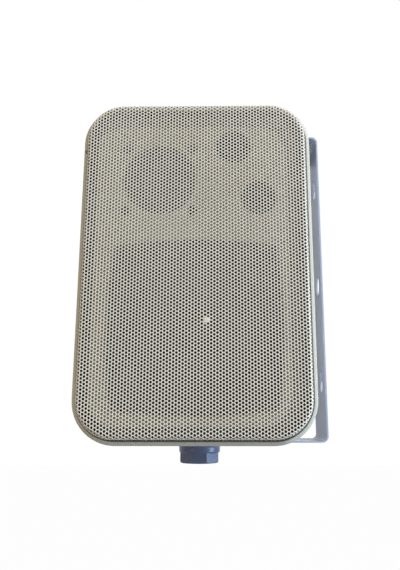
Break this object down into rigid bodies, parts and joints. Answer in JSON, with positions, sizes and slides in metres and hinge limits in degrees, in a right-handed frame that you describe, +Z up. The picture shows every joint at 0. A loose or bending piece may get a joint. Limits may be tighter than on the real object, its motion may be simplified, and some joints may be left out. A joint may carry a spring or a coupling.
{
  "type": "wall speaker",
  "caption": "Wall speaker with a perforated front grille and tapered cabinet, clamped by knobs in a U-shaped wall bracket.",
  "frame": {"origin": "centre of the bracket's plate, on the face that lies against the wall", "axes": "+X into the wall, +Z up, and the grille looks along -Y with the cabinet swung a quarter turn"},
  "size_m": [0.186, 0.1551, 0.287],
  "materials": {
    "yoke_paint": "powder coat",
    "cabinet_front": "fine grain",
    "cabinet_back": "fine grain",
    "grille_paint": "satin paint",
    "basket_paint": "satin paint",
    "surround_rubber": "satin",
    "cone_paper": "pressed paper",
    "dust_cap": "pressed paper",
    "spider_cloth": "resined cloth",
    "copper_wire": "enamelled",
    "plated_steel": "zinc plated",
    "ferrite": "sintered",
    "black_screw": "black plated",
    "tweeter_plastic": "moulded",
    "port_plastic": "moulded",
    "circuit_board": "laminate",
    "capacitor_sleeve": "shrunk sleeve",
    "terminal_plastic": "moulded",
    "spring_brass": "plain",
    "lever_red": "moulded",
    "zinc_screw": "zinc plated",
    "washer_rubber": "matt",
    "knob_plastic": "fine grain",
    "wadding_felt": "loose wadding"
  },
  "bodies": {
    "yoke": {"yoke": "yoke_paint"},
    "cabinet": {"front_frame": "cabinet_front", "rear_shell": "cabinet_back", "grille": "grille_paint", "woofer_basket": "basket_paint", "woofer_surround": "surround_rubber", "woofer_cone": "cone_paper", "woofer_dust_cap": "dust_cap", "woofer_spider": "spider_cloth", "woofer_voice_coil": "copper_wire", "woofer_top_plate": "plated_steel", "woofer_magnet": "ferrite", "woofer_pole_piece": "plated_steel", "woofer_screws": "black_screw", "tweeter_frame": "tweeter_plastic", "tweeter_cone": "cone_paper", "tweeter_magnet": "plated_steel", "tweeter_screws": "black_screw", "port_tube_upper": "port_plastic", "port_tube_lower": "port_plastic", "crossover_board": "circuit_board", "crossover_coil": "copper_wire", "crossover_capacitors": "capacitor_sleeve", "terminal_cup": "terminal_plastic", "terminal_clips": "spring_brass", "lever_axle": "plated_steel", "terminal_screws": "zinc_screw", "shell_screws": "zinc_screw", "insert_upper": "spring_brass", "insert_lower": "spring_brass", "washer_upper": "washer_rubber", "washer_lower": "washer_rubber", "wadding": "wadding_felt"},
    "knob_upper": {"knob_upper": "knob_plastic", "stud_upper": "zinc_screw"},
    "knob_lower": {"knob_lower": "knob_plastic", "stud_lower": "zinc_screw"},
    "lever_red": {"lever_red": "lever_red"},
    "lever_black": {"lever_black": "terminal_plastic"}
  },
  "joints": [
    {"name": "cabinet_swivel", "type": "hinge", "parent": "yoke", "child": "cabinet", "pos_m": [-0.1005, 0, 0], "axis": [0, 0, 1], "range_deg": [-190, 10]},
    {"name": "knob_upper_turn", "type": "hinge", "parent": "cabinet", "child": "knob_upper", "pos_m": [-0.1005, 0, 0.1271], "axis": [0, 0, 1], "range_deg": [0, 360]},
    {"name": "knob_lower_turn", "type": "hinge", "parent": "cabinet", "child": "knob_lower", "pos_m": [-0.1005, 0, -0.1271], "axis": [0, 0, -1], "range_deg": [0, 360]},
    {"name": "lever_red_press", "type": "hinge", "parent": "cabinet", "child": "lever_red", "pos_m": [-0.0875, 0.0485, -0.048], "axis": [1, 0, 0], "range_deg": [0, 18], "stiffness_Nm_per_rad": 0.15, "springref_deg": -11.46},
    {"name": "lever_black_press", "type": "hinge", "parent": "cabinet", "child": "lever_black", "pos_m": [-0.1135, 0.0485, -0.048], "axis": [1, 0, 0], "range_deg": [0, 18], "stiffness_Nm_per_rad": 0.15, "springref_deg": -11.46}
  ]
}
